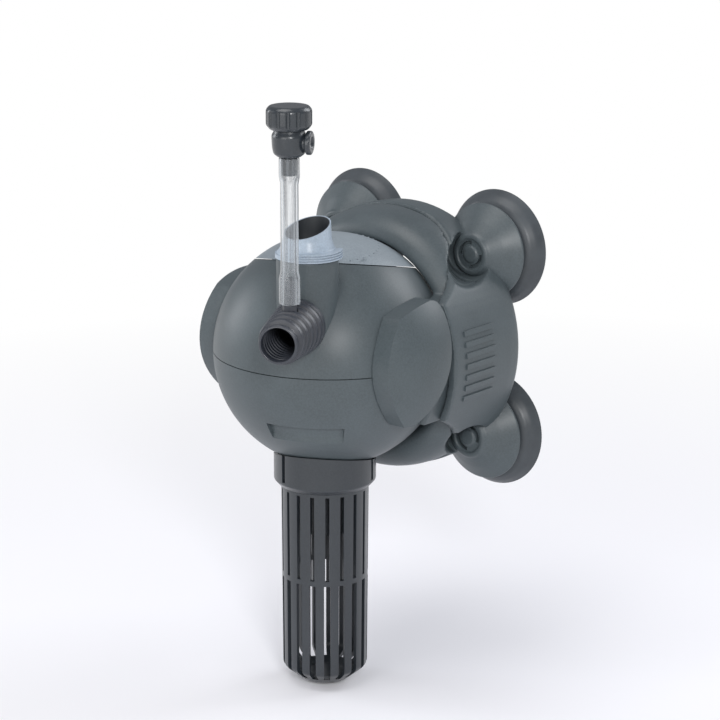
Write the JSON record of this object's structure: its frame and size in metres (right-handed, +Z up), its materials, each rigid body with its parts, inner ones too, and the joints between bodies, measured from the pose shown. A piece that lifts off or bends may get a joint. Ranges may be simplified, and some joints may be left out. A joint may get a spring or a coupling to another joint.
{
  "type": "aquarium internal power filter",
  "caption": "Ball-shaped aquarium pump turning in a cradle on four suction cups, with a strainer below and a nozzle, flow regulator and air valve above.",
  "frame": {"origin": "middle of the four suction cups, in the plane of the glass that their rims lie on", "axes": "+Z up, +Y into the glass, +X to the right as seen from the front, so the pump faces -Y"},
  "size_m": [0.1004, 0.1166, 0.208],
  "materials": {
    "dark_plastic": "fine-grained matte moulding",
    "light_plastic": "semi-gloss light grey",
    "soft_rubber": "smooth soft rubber",
    "seal_rubber": "soft black rubber",
    "clear_tube": "clear flexible tube",
    "core_steel": "laminated core",
    "copper_winding": "enamelled wire",
    "magnet": "bonded ferrite",
    "ceramic": "ground ceramic"
  },
  "bodies": {
    "holder": {"bracket": "dark_plastic", "cradle": "dark_plastic", "suction_cup_top_left": "soft_rubber", "suction_cup_top_right": "soft_rubber", "suction_cup_bottom_left": "soft_rubber", "suction_cup_bottom_right": "soft_rubber"},
    "pads": {"ear_pad_left": "seal_rubber", "ear_pad_right": "seal_rubber"},
    "ball": {"upper_shell": "dark_plastic", "lower_shell": "dark_plastic", "scale_cap": "light_plastic", "shell_seal": "seal_rubber", "rotor_can": "dark_plastic", "stator_core": "core_steel", "stator_coil_left": "copper_winding", "stator_coil_right": "copper_winding", "volute_housing": "dark_plastic", "rotor_shaft": "ceramic", "shaft_bush_top": "seal_rubber", "shaft_bush_bottom": "seal_rubber", "intake_pipe": "dark_plastic", "cable_gland": "seal_rubber", "nozzle_ring": "dark_plastic"},
    "regulator": {"regulator_sleeve": "light_plastic"},
    "nozzle": {"outlet_nozzle": "dark_plastic", "air_spigot": "light_plastic", "air_tube": "clear_tube", "valve_body": "dark_plastic"},
    "air_valve": {"air_knob": "dark_plastic", "air_needle": "dark_plastic"},
    "rotor": {"rotor_magnet": "magnet", "impeller": "dark_plastic"},
    "strainer": {"strainer_collar": "dark_plastic", "strainer_basket": "dark_plastic"}
  },
  "joints": [
    {"name": "ball_tilt", "type": "hinge", "parent": "holder", "child": "pads", "pos_m": [0, -0.0546, 0.002], "axis": [1, 0, 0], "range_deg": [-20, 8]},
    {"name": "ball_pan", "type": "hinge", "parent": "pads", "child": "ball", "pos_m": [0, -0.0546, 0.002], "axis": [0, 0, 1], "range_deg": [-60, 10]},
    {"name": "regulator_turn", "type": "hinge", "parent": "ball", "child": "regulator", "pos_m": [0.01297, -0.08143, 0.042], "axis": [0, 0, 1], "range_deg": [0, 90]},
    {"name": "nozzle_turn", "type": "hinge", "parent": "ball", "child": "nozzle", "pos_m": [0.02176, -0.09962, 0.02], "axis": [0.4352, -0.9003, 0], "range_deg": [-60, 60]},
    {"name": "air_knob_turn", "type": "hinge", "parent": "nozzle", "child": "air_valve", "pos_m": [0.02241, -0.10097, 0.09], "axis": [0, 0, 1], "range_deg": [-180, 90]},
    {"name": "strainer_pull", "type": "slide", "parent": "ball", "child": "strainer", "axis": [0, 0, -1], "range_m": [0, 0.03]},
    {"name": "rotor_spin", "type": "hinge", "parent": "ball", "child": "rotor", "pos_m": [0.00326, -0.06135, 0.002], "axis": [0, 0, 1], "continuous": true}
  ]
}
